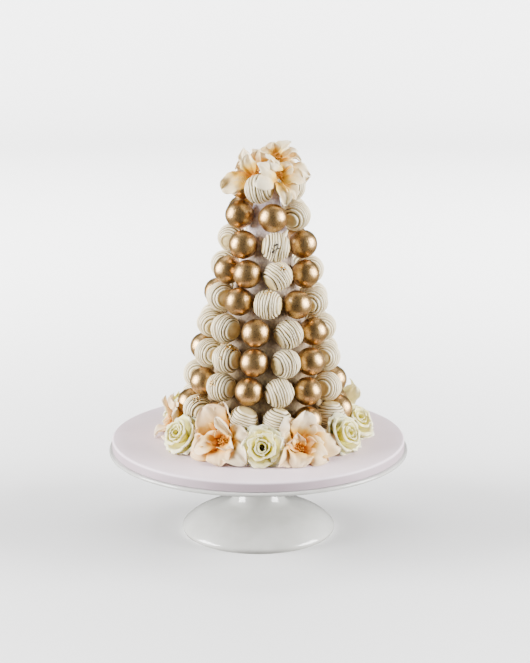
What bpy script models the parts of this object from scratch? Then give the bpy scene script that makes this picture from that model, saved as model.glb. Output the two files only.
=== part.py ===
# Cake pop tower: a foam cone covered with chocolate-coated cake pops, a wreath of silk roses and magnolias
# round its foot and three magnolias on its top, on a round cake board on a glazed pedestal stand.
# Metres, +Z up. The origin is the centre of the stand's foot, on the table, and -Y is the front.
# A bearing is an angle round the tower in degrees, 0 at the front and positive to the right.

import math

import bmesh
import bpy
from mathutils import Matrix, Vector

MM = 0.001
GAP = 0.3 * MM  # between pieces that touch

# Stand, turned in one piece
PLATE_RADIUS = 155.5 * MM
PLATE_RIM = 3.5 * MM
STAND_HEIGHT = 91.2 * MM
NECK_RADIUS = 24.0 * MM
FOOT_RADIUS = 80.0 * MM
FOOT_RING_WIDTH = 9.0 * MM
FOOT_RECESS = 4.0 * MM
STAND_STEPS = 34

# Cake board
BOARD_RADIUS = 152.4 * MM
BOARD_THICKNESS = 10.5 * MM
BOARD_EDGE_RADIUS = 2.2 * MM
BOARD_STEPS = 40
BOARD_TOP = STAND_HEIGHT + GAP + BOARD_THICKNESS

# Foam cone, a little off the board's centre and leaning a little to the right
CONE_BASE_RADIUS = 69.6 * MM
CONE_APEX = 307.6 * MM  # where its sides would meet, above the board
CONE_HEIGHT = 266.0 * MM  # its tip is cut off for the top flowers
CONE_STEPS = 32
TOWER_OFFSET = 5.6 * MM
TOWER_LEAN = 0.0157  # sideways for each unit of height
CONE_HALF_ANGLE = math.atan(CONE_BASE_RADIUS / CONE_APEX)

# Pops, in level rows that climb a little towards one side
POP_RADIUS = 14.3 * MM
TOP_ROW_HEIGHT = 264.8 * MM
ROW_DROP = 28.73 * MM
ROW_CLIMB = 4.0 * MM
ROW_CLIMB_BEARING = -50
ROWS_TO_FULL_CLIMB = 4
FRONT_ARC = 80  # pops within this bearing of the front are pieces of their own
DRIZZLE_LINES = 6
DRIZZLE_RELIEF = 0.8 * MM
DRIZZLE_STEPS = 8
STRIPE_TILT = 14  # most that the other drizzle lines lean from upright
FUSE_DEPTH = 0.8 * MM  # how far the pops at the back are pressed into the foam

# The pops from the left edge round the front to the right edge, top row first: the coat (G gold, S striped),
# the bearing and, for some striped ones, how far the drizzle lines lean right and how far they are turned
# to the right about the upright. The back is filled in evenly.
ROWS = (
    "G-92 S-20/-8/0 S70",
    "G-65 G10 S67",
    "S-108 G-40 S14/8/-8 G75",
    "S-105 G-64 G-26 S15/-32/18 G62 S100",
    "G-100 S-67 G-33 S2/3/-14 G38 S71",
    "S-79 S-46/2/0 G-10 S24/-24/4 G58 S87",
    "G-93 S-65/-4/0 S-38/-3/0 G-10 S19/-6/16 G46 S76",
    "S-91 G-63 S-39/-2/0 G-13 S12/-14/4 G38 S65 G92",
    "G-86 S-64 G-40 S-16/-68/0 S10/-74/0 G35 S61/-84/0 G84",
)

# Wreath: rose or magnolia, its bearing, and how far its middle is from the tower's axis
WREATH = (
    ("rose", -1, 101 * MM),
    ("magnolia", 24, 84 * MM),
    ("rose", 58, 107 * MM),
    ("rose", 89, 107 * MM),
    ("magnolia", 119, 84 * MM),
    ("rose", 150, 107 * MM),
    ("magnolia", 180, 86 * MM),
    ("rose", 210, 107 * MM),
    ("rose", 240, 107 * MM),
    ("magnolia", 270, 84 * MM),
    ("rose", 303, 103 * MM),
    ("magnolia", 331, 84 * MM),
)
ROSE_HEIGHT = 22.0 * MM
ROSE_ELEVATION = 24
MAGNOLIA_HEIGHT = 11.0 * MM
MAGNOLIA_ELEVATION = 38
MAGNOLIA_TURN = 8
FLOWER_MARGIN = 0.9 * MM

# Rose: a ruffled bowl of three rings of petals, turned and then waved
ROSE_RADIUS = 20.5 * MM
ROSE_PETALS = 5
ROSE_STEPS = 10

# Magnolia: two rings of three petals, joined low down, on a small boss of stamens
PETALS_IN_RING = 3
PETAL_LENGTH = 40 * MM
PETAL_WIDTH = 34 * MM
PETAL_THICKNESS = 0.9 * MM
PETAL_ALONG = 3
PETAL_ACROSS = 2
RING_HEIGHTS = (-1.5 * MM, 2.5 * MM)
BOSS_RADIUS = 5.0 * MM
POP_CLEARANCE = 2.7 * MM
INNER_CLEARANCE = 1.9 * MM  # more for the inner ring, which lies on the outer one

# Top spray of three magnolias, left, right and upper: place from the tower's axis (right, back, up from the
# board), bearing and elevation of the way it faces, turn of its first petal, size beside the wreath's
TOP_MAGNOLIAS = (
    ((-13 * MM, -4 * MM, 279 * MM), -50, 18, 22, 0.84),
    ((8 * MM, -8 * MM, 278 * MM), 33, 26, 72, 0.88),
    ((6 * MM, 3 * MM, 286 * MM), 24, 38, 65, 0.68),
)
STEM_RADIUS = 1.1 * MM
SPRAY_FOOT = (0, 1 * MM)  # where the stems are bound together, on the cone's top
SPRAY_FOOT_RADIUS = 3.0 * MM
SPRAY_FOOT_HEIGHT = 6.0 * MM
# Planes past which the petals of two of its flowers may reach only a little, from the lower number to the
# higher: point and normal
TOP_PARTINGS = (
    (0, 1, (-7 * MM, -8 * MM, 284 * MM), (0.7, -0.6, -0.4)),
    (1, 2, (5 * MM, 0, 285 * MM), (0, 0.3, 0.95)),
    (0, 2, (-4 * MM, 0, 296 * MM), (0.9, 0, 0.35)),
)
TOP_OVERLAP = 7.0 * MM

CHOCOLATE = "striped_ivory_chocolate"
GOLD = "gold_lustre_chocolate"


def linear(hex_colour):
    """A colour written as sRGB hex, as the linear values a shader takes."""
    parts = [int(hex_colour[i : i + 2], 16) / 255 for i in (1, 3, 5)]
    return [p / 12.92 if p <= 0.04045 else ((p + 0.055) / 1.055) ** 2.4 for p in parts] + [1]


def make_material(name, hex_colour, roughness, metallic=0.0):
    material = bpy.data.materials.new(name)
    material.use_nodes = True
    shader = material.node_tree.nodes["Principled BSDF"]
    shader.inputs["Base Color"].default_value = linear(hex_colour)
    shader.inputs["Roughness"].default_value = roughness
    shader.inputs["Metallic"].default_value = metallic
    material.diffuse_color = linear(hex_colour)
    return material


def make_materials():
    return {
        GOLD: make_material(GOLD, "#b3803f", 0.32, 0.85),
        CHOCOLATE: make_material(CHOCOLATE, "#e6ddc8", 0.4),
        "foam": make_material("white_foam", "#e6e1e8", 0.85),
        "rose": make_material("cream_silk_rose", "#ecebc0", 0.7),
        "magnolia": make_material("peach_silk_magnolia", "#f3d6ba", 0.7),
        "board": make_material("pale_board_paper", "#e2d9dd", 0.55),
        "stand": make_material("white_glaze", "#e4e4e0", 0.15),
    }


def clear_scene():
    for found in list(bpy.data.objects):
        bpy.data.objects.remove(found)


def add_object(name, mesh, material, collection, matrix=None):
    made = bpy.data.objects.new(name, mesh)
    if not mesh.materials:
        mesh.materials.append(material)
    mesh.shade_smooth()
    mesh.set_sharp_from_angle(angle=math.radians(40))
    if matrix is not None:
        made.matrix_world = matrix
    collection.objects.link(made)
    return made


def turned(name, profile, steps, material, collection, matrix=None):
    """A profile of (radius, height) points, which runs down the outer side, turned round Z."""
    mesh = bpy.data.meshes.new(name)
    points = [(radius, 0, height) for radius, height in profile]
    mesh.from_pydata(points, [(i, i + 1) for i in range(len(points) - 1)], [])
    made = add_object(name, mesh, material, collection, matrix)
    screw = made.modifiers.new("turn", "SCREW")
    screw.steps = screw.render_steps = steps
    screw.use_merge_vertices = True
    screw.merge_threshold = 0.00001
    screw.use_smooth_shade = True
    return made


def baked(made):
    """Replaces the object's mesh with what its modifiers make of it."""
    bpy.context.view_layer.update()
    graph = bpy.context.evaluated_depsgraph_get()
    mesh = bpy.data.meshes.new_from_object(made.evaluated_get(graph), depsgraph=graph)
    mesh.name = made.name
    made.modifiers.clear()
    made.data = mesh
    return made


def shells(whole):
    """The faces of a bmesh in sets that hang together by their edges."""
    waiting = set(whole.faces)
    while waiting:
        found, edge_of_search = set(), [waiting.pop()]
        while edge_of_search:
            face = edge_of_search.pop()
            found.add(face)
            for edge in face.edges:
                fresh = waiting.intersection(edge.link_faces)
                waiting -= fresh
                edge_of_search.extend(fresh)
        yield found


def drop_inner_shells(mesh):
    """Fills the hollows that joining sealed and drops loose scraps: only the largest shell stays."""
    whole = bmesh.new()
    whole.from_mesh(mesh)
    sets = sorted(shells(whole), key=lambda faces: sum(face.calc_area() for face in faces))
    for faces in sets[:-1]:
        bmesh.ops.delete(whole, geom=list(faces), context="FACES")
    whole.to_mesh(mesh)
    whole.free()


def joined(core, collection):
    """Joins every object of the collection to the core, and removes the collection's objects."""
    union = core.modifiers.new("join", "BOOLEAN")
    union.operation = "UNION"
    union.operand_type = "COLLECTION"
    union.collection = collection
    union.solver = "EXACT"
    drop_inner_shells(baked(core).data)
    for used in list(collection.objects):
        bpy.data.objects.remove(used)
    return core


# ---- stand and board


def make_stand(material, collection):
    top = STAND_HEIGHT
    underside = top - PLATE_RIM
    profile = [
        (0, top),
        (PLATE_RADIUS - 1.2 * MM, top),
        (PLATE_RADIUS, top - 1.2 * MM),
        (PLATE_RADIUS, underside + 0.8 * MM),
        (PLATE_RADIUS - 2.5 * MM, underside),
        (62 * MM, top - 7.5 * MM),
        (38 * MM, top - 11.5 * MM),
        (NECK_RADIUS + 3.5 * MM, top - 18 * MM),
        (NECK_RADIUS, top - 30 * MM),
        (NECK_RADIUS + 0.5 * MM, 44 * MM),
        (NECK_RADIUS + 4.5 * MM, 33 * MM),
        (37 * MM, 28 * MM),
        (57 * MM, 21.5 * MM),
        (71 * MM, 14 * MM),
        (FOOT_RADIUS - 1 * MM, 6.5 * MM),
        (FOOT_RADIUS, 3 * MM),
        (FOOT_RADIUS - 1.5 * MM, 0),
        (FOOT_RADIUS - 1.5 * MM - FOOT_RING_WIDTH, 0),
        (FOOT_RADIUS - 5 * MM - FOOT_RING_WIDTH, FOOT_RECESS),
        (0, FOOT_RECESS),
    ]
    return turned("cake_stand", profile, STAND_STEPS, material, collection)


def make_board(material, collection):
    bottom = STAND_HEIGHT + GAP
    profile = [(0, BOARD_TOP)]
    for degrees in (90, 45, 0):
        angle = math.radians(degrees)
        profile.append(
            (
                BOARD_RADIUS - BOARD_EDGE_RADIUS * (1 - math.cos(angle)),
                BOARD_TOP - BOARD_EDGE_RADIUS * (1 - math.sin(angle)),
            )
        )
    profile += [(BOARD_RADIUS, bottom + 1 * MM), (BOARD_RADIUS - 1 * MM, bottom), (0, bottom)]
    return turned("cake_board", profile, BOARD_STEPS, material, collection)


# ---- places on the tower


def tower_point(bearing, radius, height):
    """The point this far from the tower's leaning axis and this high above the board."""
    angle = math.radians(bearing)
    axis = TOWER_OFFSET + TOWER_LEAN * height
    return Vector((axis + radius * math.sin(angle), -radius * math.cos(angle), BOARD_TOP + height))


def outward(bearing, elevation):
    angle, rise = math.radians(bearing), math.radians(elevation)
    return Vector(
        (
            math.sin(angle) * math.cos(rise),
            -math.cos(angle) * math.cos(rise),
            math.sin(rise),
        )
    )


def cone_radius(height):
    return CONE_BASE_RADIUS * (1 - height / CONE_APEX)


def pop_distance(height):
    """How far from the axis a pop's middle is when it rests against the cone."""
    return cone_radius(height) + (POP_RADIUS + GAP) / math.cos(CONE_HALF_ANGLE)


def row_pops(row, text):
    """Every pop of a row as (coat, bearing, lean, turn): those in the text, and the back filled in evenly."""
    pops = []
    for word in text.split():
        bearing, *way = [int(value) for value in word[1:].split("/")]
        lean, turn = way or (STRIPE_TILT * math.sin(bearing + row), 0)
        pops.append((word[0], bearing, lean, turn))
    height = TOP_ROW_HEIGHT - ROW_DROP * row
    reach = (POP_RADIUS + GAP) / pop_distance(height)
    least = math.degrees(2 * math.asin(reach)) + 1.0
    first, last = pops[0][1] + 360, pops[-1][1]
    spaces = max(1, int((first - last) / least))
    for i in range(1, spaces):
        coat = "GS"[(i + (pops[-1][0] == "G")) % 2]
        bearing = last + i * (first - last) / spaces
        pops.append((coat, bearing, STRIPE_TILT * math.sin(bearing + row), 0))
    return pops


def pop_layout():
    """Every pop as (row, number in the row, coat, bearing, lean, turn, centre)."""
    found = []
    for row, text in enumerate(ROWS):
        climb = ROW_CLIMB * min(row / ROWS_TO_FULL_CLIMB, 1)
        for number, (coat, bearing, lean, turn) in enumerate(row_pops(row, text), 1):
            rise = climb * math.cos(math.radians(bearing - ROW_CLIMB_BEARING))
            height = TOP_ROW_HEIGHT - ROW_DROP * row + rise
            centre = tower_point(bearing, pop_distance(height), height)
            found.append((row, number, coat, bearing, lean, turn, centre))
    return found


# ---- pops


def drizzled_profile():
    """Half a ball outline with a crest for each drizzle line and a valley between two."""
    bands = 2 * DRIZZLE_LINES
    profile = []
    for i in range(bands + 1):
        angle = math.pi * i / bands
        radius = POP_RADIUS - (0 if i % 2 else DRIZZLE_RELIEF)
        profile.append((radius * math.sin(angle) if 0 < i < bands else 0, radius * math.cos(angle)))
    return profile


def ball_mesh(name, coarse=False):
    ball = bmesh.new()
    if coarse:
        bmesh.ops.create_uvsphere(ball, u_segments=7, v_segments=5, radius=POP_RADIUS)
    else:
        bmesh.ops.create_icosphere(ball, subdivisions=2, radius=POP_RADIUS)
    mesh = bpy.data.meshes.new(name)
    ball.to_mesh(mesh)
    ball.free()
    return mesh


def pop_matrix(bearing, lean, turn, centre):
    """Places a pop with its local Z, which its drizzle lines go round, level along the cone's side."""
    along = Matrix.Rotation(math.radians(90), 4, "Y")
    leaning = Matrix.Rotation(math.radians(lean), 4, "Y")
    facing = Matrix.Rotation(math.radians(bearing + turn), 4, "Z")
    return Matrix.Translation(centre) @ facing @ leaning @ along


def add_back_pop(bearing, centre, material, collection):
    """A ball pressed a little into the foam, with one of its poles square to the cone's side."""
    normal = outward(bearing, math.degrees(CONE_HALF_ANGLE))
    turn = normal.to_track_quat("Z", "Y").to_matrix().to_4x4()
    place = Matrix.Translation(centre - (GAP + FUSE_DEPTH) * normal) @ turn
    add_object("back_pop", ball_mesh("back_pop", coarse=True), material, collection, place)


def make_tower(materials, collection):
    cone_mesh = bmesh.new()
    bmesh.ops.create_cone(
        cone_mesh,
        cap_ends=True,
        segments=CONE_STEPS,
        radius1=CONE_BASE_RADIUS - GAP,
        radius2=cone_radius(CONE_HEIGHT),
        depth=CONE_HEIGHT - GAP,
        matrix=Matrix.Translation((0, 0, (CONE_HEIGHT + GAP) / 2)),
    )
    mesh = bpy.data.meshes.new("foam_cone")
    cone_mesh.to_mesh(mesh)
    cone_mesh.free()
    lean = Matrix.Identity(4)
    lean[0][2] = TOWER_LEAN
    mesh.transform(lean)
    place = Matrix.Translation((TOWER_OFFSET, 0, BOARD_TOP))
    cone = add_object("cone_and_back_pops", mesh, materials["foam"], collection, place)

    gold_mesh = ball_mesh(GOLD)
    striped = turned(CHOCOLATE, drizzled_profile(), DRIZZLE_STEPS, materials[CHOCOLATE], collection)
    striped_mesh = baked(striped).data
    bpy.data.objects.remove(striped)

    back = bpy.data.collections.new("back_pops")
    bpy.context.scene.collection.children.link(back)
    for row, number, coat, bearing, lean, turn, centre in pop_layout():
        place = pop_matrix(bearing, lean, turn, centre)
        if abs(bearing) > FRONT_ARC:
            add_back_pop(bearing, centre, materials["foam"], back)
        elif coat == "G":
            add_object(f"gold_pop_{row + 1}_{number}", gold_mesh, materials[GOLD], collection, place)
        else:
            name = f"striped_pop_{row + 1}_{number}"
            add_object(name, striped_mesh, materials[CHOCOLATE], collection, place)
    joined(cone, back)
    bpy.data.collections.remove(back)


# ---- flowers


def flower_matrix(place, bearing, elevation):
    """Local Z is the way the flower faces, and local Y points up its face."""
    axis = outward(bearing, elevation)
    side = Vector((0, 0, 1)).cross(axis).normalized()
    up = axis.cross(side)
    turn = Matrix((side, up, axis)).transposed().to_4x4()
    return Matrix.Translation(place) @ turn


def pushed_clear(point, pops, way, spare):
    """Moves a petal's point off the board, and forward along the given way off any pop it would run into."""
    clear = POP_RADIUS + POP_CLEARANCE + spare
    for _ in range(3):
        point.z = max(point.z, BOARD_TOP + GAP + PETAL_THICKNESS + spare)
        for centre in pops:
            away = point - centre
            if away.length < clear:
                ahead = away.dot(way)
                beside = away.length_squared - ahead**2
                point = point + way * (math.sqrt(clear**2 - beside) - ahead)
    return point


def petal_point(across, along, turn, size, opening, foot):
    """A point of a petal's middle surface in the flower's frame, for across in -1..1 and along in 0..1."""
    if along == 0:
        return Vector((0, 0, foot))
    length = PETAL_LENGTH * size * along
    half_width = PETAL_WIDTH * size / 2 * math.sin(math.pi * (0.02 + 0.82 * along))
    angle = math.radians(opening[0] + (opening[1] - opening[0]) * along / 2)
    cup = 0.28 * half_width * across * across
    wave = 1.6 * MM * size * math.sin(3.1 * along + 1.7 * turn) * across * along
    radius = length * math.sin(angle) - cup * math.cos(angle)
    height = foot + length * math.cos(angle) + cup * math.sin(angle) + wave
    sideways = half_width * across
    spin = math.radians(turn)
    return Vector(
        (
            -radius * math.sin(spin) + sideways * math.cos(spin),
            radius * math.cos(spin) + sideways * math.sin(spin),
            height,
        )
    )


class PetalRing:
    """One ring of petals, and what they keep clear of. Neighbours share the corner of their first row."""

    def __init__(self, matrix, size, first_turn, openings, foot, spare, pops, way, keep_inside):
        self.matrix, self.foot, self.spare = matrix, foot, spare
        self.pops, self.way, self.keep_inside = pops, way, keep_inside
        step = 360 / PETALS_IN_RING
        self.petals = []
        for i in range(PETALS_IN_RING):
            turn = first_turn + step * i
            upright = (1 + math.cos(math.radians(turn))) / 2
            opening = (openings[0], openings[1] - openings[2] * upright)
            self.petals.append((turn, self.fitted(turn, size, opening), opening))

    def clear_point(self, point):
        return pushed_clear(self.matrix @ point, self.pops, self.way, self.spare)

    def fitted(self, turn, size, opening):
        """The largest size, up to the given one, at which the petal stays in its flower's own room."""
        outline = [(x, y / PETAL_ALONG) for x in (-1, 0, 1) for y in range(1, PETAL_ALONG + 1)]
        while not all(
            self.keep_inside(self.clear_point(petal_point(x, y, turn, size, opening, self.foot)))
            for x, y in outline
        ):
            size *= 0.95
        return size

    def point(self, i, across, row):
        own = petal_point(across, row / PETAL_ALONG, *self.petals[i], self.foot)
        if row == 1 and abs(across) == 1:
            neighbour = self.petals[(i - int(across)) % PETALS_IN_RING]
            own = (own + petal_point(-across, row / PETAL_ALONG, *neighbour, self.foot)) / 2
        return self.matrix.inverted() @ self.clear_point(own)

    def make(self, name, material, collection):
        ring = bmesh.new()
        for i in range(PETALS_IN_RING):
            made = bmesh.ops.create_grid(ring, x_segments=PETAL_ACROSS, y_segments=PETAL_ALONG, size=1)
            for vertex in made["verts"]:
                row = round((vertex.co.y + 1) / 2 * PETAL_ALONG)
                vertex.co = self.point(i, round(vertex.co.x), row)
        bmesh.ops.triangulate(ring, faces=ring.faces[:], quad_method="FIXED")
        bmesh.ops.remove_doubles(ring, verts=ring.verts[:], dist=0.01 * MM)
        mesh = bpy.data.meshes.new(name)
        ring.to_mesh(mesh)
        ring.free()
        made = add_object(name, mesh, material, collection, self.matrix)
        wall = made.modifiers.new("wall", "SOLIDIFY")
        wall.thickness = PETAL_THICKNESS
        wall.offset = 0
        return baked(made)


def make_magnolia(name, matrix, turn, size, pops, way, keep_inside, material, collection):
    """Outer and inner petals on a boss. Petals that stand up open less than those that hang down."""
    core = bmesh.new()
    bmesh.ops.create_icosphere(core, subdivisions=1, radius=BOSS_RADIUS)
    mesh = bpy.data.meshes.new(name)
    core.to_mesh(mesh)
    core.free()
    middle = add_object(name, mesh, material, collection, matrix)
    petals = bpy.data.collections.new("petals")
    bpy.context.scene.collection.children.link(petals)
    outer = PetalRing(matrix, size, turn, (44, 84, 34), RING_HEIGHTS[0], 0, pops, way, keep_inside)
    inner_foot, spare = RING_HEIGHTS[1], INNER_CLEARANCE
    inner = PetalRing(
        matrix, 0.9 * size, turn + 60, (20, 54, 18), inner_foot, spare, pops, way, keep_inside
    )
    outer.make("outer_petals", material, petals)
    inner.make("inner_petals", material, petals)
    joined(middle, petals)
    bpy.data.collections.remove(petals)
    return middle


def rose_profile():
    """(radius, height) from the heart down into the bowl's rings and round the outside to the stem."""
    r = ROSE_RADIUS
    return [
        (0, 0.12 * r),
        (0.14 * r, 0.14 * r),
        (0.26 * r, 0.42 * r),
        (0.42 * r, 0.12 * r),
        (0.58 * r, 0.4 * r),
        (0.72 * r, 0.06 * r),
        (0.98 * r, 0.26 * r),
        (0.94 * r, -0.12 * r),
        (0.68 * r, -0.55 * r),
        (0.2 * r, -0.78 * r),
        (0, -1.0 * r),
    ]


def make_rose(name, matrix, material, collection):
    rose = turned(name, rose_profile(), ROSE_STEPS, material, collection, matrix)
    mesh = baked(rose).data
    back = matrix.inverted()
    for vertex in mesh.vertices:
        radius = math.hypot(vertex.co.x, vertex.co.y)
        angle = math.atan2(vertex.co.y, vertex.co.x)
        share = radius / ROSE_RADIUS
        wave = math.cos(ROSE_PETALS * angle)
        scale = 1 + 0.05 * share * wave
        height = vertex.co.z + 1.6 * MM * share * wave
        place = matrix @ Vector((vertex.co.x * scale, vertex.co.y * scale, height))
        place.z = max(place.z, BOARD_TOP + GAP)
        vertex.co = back @ place
    return rose


def room_test(i):
    """Whether a point is in a magnolia's room in the wreath, between the roses on its two sides."""
    edges = []
    for side in (-1, 1):
        _, bearing, distance = WREATH[(i + side) % len(WREATH)]
        half_rose = math.asin((ROSE_RADIUS + FLOWER_MARGIN) / distance)
        edge = math.radians(bearing) - side * half_rose
        edges.append(side * Vector((math.cos(edge), math.sin(edge), 0)))

    def inside(point):
        local = point - tower_point(0, 0, point.z - BOARD_TOP)
        return all(local.dot(normal) < -FLOWER_MARGIN for normal in edges)

    return inside


def make_wreath(materials, collection, pops):
    counts = {"rose": 0, "magnolia": 0}
    for i, (kind, bearing, distance) in enumerate(WREATH):
        counts[kind] += 1
        name = f"{kind}_{counts[kind]}"
        if kind == "rose":
            place = tower_point(bearing, distance, ROSE_HEIGHT)
            matrix = flower_matrix(place, bearing, ROSE_ELEVATION)
            make_rose(name, matrix, materials[kind], collection)
        else:
            place = tower_point(bearing, distance, MAGNOLIA_HEIGHT)
            matrix = flower_matrix(place, bearing, MAGNOLIA_ELEVATION)
            way = outward(bearing, 15)
            room = room_test(i)
            turn = MAGNOLIA_TURN + 4 * (counts[kind] % 3)
            make_magnolia(name, matrix, turn, 1.0, pops, way, room, materials[kind], collection)


def top_test(index):
    """Whether a point of this top flower's petals stays out of the middle of the other two."""
    planes = []
    for lower, higher, (right, back, height), normal in TOP_PARTINGS:
        if index in (lower, higher):
            side = 1 if index == higher else -1
            point = tower_point(0, 0, height) + Vector((right, back, 0))
            planes.append((point, side * Vector(normal).normalized()))
    return lambda point: all((point - place).dot(normal) > -TOP_OVERLAP for place, normal in planes)


def add_stem(start, end, radius, material, collection):
    """A round stem between two points."""
    way = end - start
    stem = bmesh.new()
    bmesh.ops.create_cone(
        stem,
        cap_ends=True,
        segments=6,
        radius1=radius,
        radius2=radius,
        depth=way.length,
        matrix=Matrix.Translation((0, 0, way.length / 2)),
    )
    mesh = bpy.data.meshes.new("stem")
    stem.to_mesh(mesh)
    stem.free()
    turn = way.to_track_quat("Z", "Y").to_matrix().to_4x4()
    return add_object("stem", mesh, material, collection, Matrix.Translation(start) @ turn)


def make_top(material, collection, pops):
    """The three top magnolias, whose stems are bound together on the cone's top."""
    parts = bpy.data.collections.new("spray_parts")
    bpy.context.scene.collection.children.link(parts)
    foot = tower_point(0, 0, CONE_HEIGHT + GAP) + Vector((*SPRAY_FOOT, 0))
    bound = foot + Vector((0, 0, SPRAY_FOOT_HEIGHT))
    spray = add_stem(foot, bound, SPRAY_FOOT_RADIUS, material, collection)
    spray.name = "top_magnolia_spray"
    for index, (place, bearing, elevation, turn, size) in enumerate(TOP_MAGNOLIAS):
        right, back, height = place
        centre = tower_point(0, 0, height) + Vector((right, back, 0))
        matrix = flower_matrix(centre, bearing, elevation)
        way = outward(bearing, 60)
        make_magnolia("flower", matrix, turn, size, pops, way, top_test(index), material, parts)
        add_stem(centre, foot + Vector((0, 0, 0.6 * SPRAY_FOOT_HEIGHT)), STEM_RADIUS, material, parts)
    joined(spray, parts)
    bpy.data.collections.remove(parts)


def main():
    clear_scene()
    collection = bpy.data.collections.new("cake_pop_tower")
    bpy.context.scene.collection.children.link(collection)
    materials = make_materials()
    make_stand(materials["stand"], collection)
    make_board(materials["board"], collection)
    make_tower(materials, collection)
    pops = [centre for *_, centre in pop_layout()]
    make_wreath(materials, collection, pops)
    make_top(materials["magnolia"], collection, pops)


main()
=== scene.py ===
# Cake pop tower: chocolate-coated pops pinned on a foam cone, with a wreath of silk roses and magnolias round its
# foot and a spray of magnolias on its top, on a paper-covered cake drum on a glazed pedestal stand.
# A bearing is an angle round the tower in degrees, 0 at the front and positive to the right.

import random
from itertools import islice, zip_longest
from math import acos, asin, atan, atan2, copysign, cos, degrees, exp, hypot, log, pi, radians, sin, sqrt, tau

import bmesh
import bpy
from mathutils import Matrix, Vector, noise


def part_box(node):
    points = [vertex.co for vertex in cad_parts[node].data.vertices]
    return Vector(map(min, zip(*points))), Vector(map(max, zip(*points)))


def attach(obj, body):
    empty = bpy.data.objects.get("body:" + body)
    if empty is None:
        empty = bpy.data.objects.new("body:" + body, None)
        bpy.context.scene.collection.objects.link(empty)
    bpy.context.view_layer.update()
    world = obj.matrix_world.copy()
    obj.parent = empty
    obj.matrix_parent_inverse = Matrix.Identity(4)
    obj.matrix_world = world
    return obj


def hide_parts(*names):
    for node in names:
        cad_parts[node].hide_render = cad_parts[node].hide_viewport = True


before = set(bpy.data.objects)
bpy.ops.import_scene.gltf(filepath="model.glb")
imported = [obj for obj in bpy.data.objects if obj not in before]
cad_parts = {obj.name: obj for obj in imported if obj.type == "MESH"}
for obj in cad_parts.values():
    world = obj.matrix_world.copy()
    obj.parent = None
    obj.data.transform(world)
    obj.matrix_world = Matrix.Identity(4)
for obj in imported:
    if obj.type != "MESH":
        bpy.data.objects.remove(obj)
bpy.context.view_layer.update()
mm = 0.001
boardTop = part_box("cake_board")[1].z
print("frame loaded, board top at", round(boardTop / mm, 1), "mm")


def toLinear(hexColour):
    parts = [int(hexColour[i : i + 2], 16) / 255 for i in (1, 3, 5)]
    return [p / 12.92 if p <= 0.04045 else ((p + 0.055) / 1.055) ** 2.4 for p in parts] + [1]


def connect(mat, node, links):
    # links give an input its value, or the output that feeds it; a node stands for its first output
    for key, value in links.items():
        if isinstance(value, bpy.types.Node):
            value = value.outputs[0]
        if isinstance(value, bpy.types.NodeSocket):
            mat.node_tree.links.new(value, node.inputs[key])
        else:
            node.inputs[key].default_value = value
    return node


def addNode(mat, kind, links=None, stops=None, **settings):
    # settings are the node's own fields; stops are a ramp's colours by their place, as sRGB hex
    node = mat.node_tree.nodes.new("ShaderNode" + kind)
    for field, value in settings.items():
        setattr(node, field, value)
    if stops:
        elements = node.color_ramp.elements
        while len(elements) < len(stops):
            elements.new(0.5)
        for element, (place, hexColour) in zip(elements, stops.items()):
            element.position = place
            element.color = toLinear(hexColour)
    return connect(mat, node, links or {})


def feed(mat, links):
    connect(mat, mat.node_tree.nodes["Principled BSDF"], links)
    return mat


def newMaterial(name, hexColour, sockets):
    # a material, and the output that gives the place on its piece
    mat = bpy.data.materials.new(name)
    mat.use_nodes = True
    feed(mat, {"Base Color": toLinear(hexColour), **sockets})
    return mat, addNode(mat, "TexCoord").outputs["Object"]


multiplied = {"data_type": "RGBA", "blend_type": "MULTIPLY"}


def goldLustre():
    # Chocolate brushed with gold lustre dust: a soft metal sheen that blurs reflections, with grains that glint
    mat, place = newMaterial("goldLustreOnChocolate", "#b98a4c", {"Metallic": 1.0, "Roughness": 0.31})
    grains = addNode(mat, "TexNoise", {"Vector": place, "Scale": 800, "Detail": 3, "Roughness": 0.7})  # 1.3 mm
    strokes = addNode(mat, "TexNoise", {"Vector": place, "Scale": 95})  # 10 mm brush marks
    dust = addNode(mat, "ValToRGB", {0: strokes}, {0.3: "#ab8856", 0.52: "#bc9966", 0.75: "#c8a776"})
    speckle = addNode(mat, "ValToRGB", {0: grains}, {0.34: "#755a40", 0.5: "#ffffff"})
    colour = addNode(mat, "Mix", {0: 0.75, 6: dust, 7: speckle}, **multiplied)
    sheen = {"Value": grains, "From Min": 0.3, "From Max": 0.7, "To Min": 0.39, "To Max": 0.28}
    bump = addNode(mat, "Bump", {"Height": grains, "Strength": 0.32, "Distance": 0.6 * mm})
    rough = addNode(mat, "MapRange", sheen)
    return feed(mat, {"Base Color": colour.outputs[2], "Roughness": rough, "Normal": bump})


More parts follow.
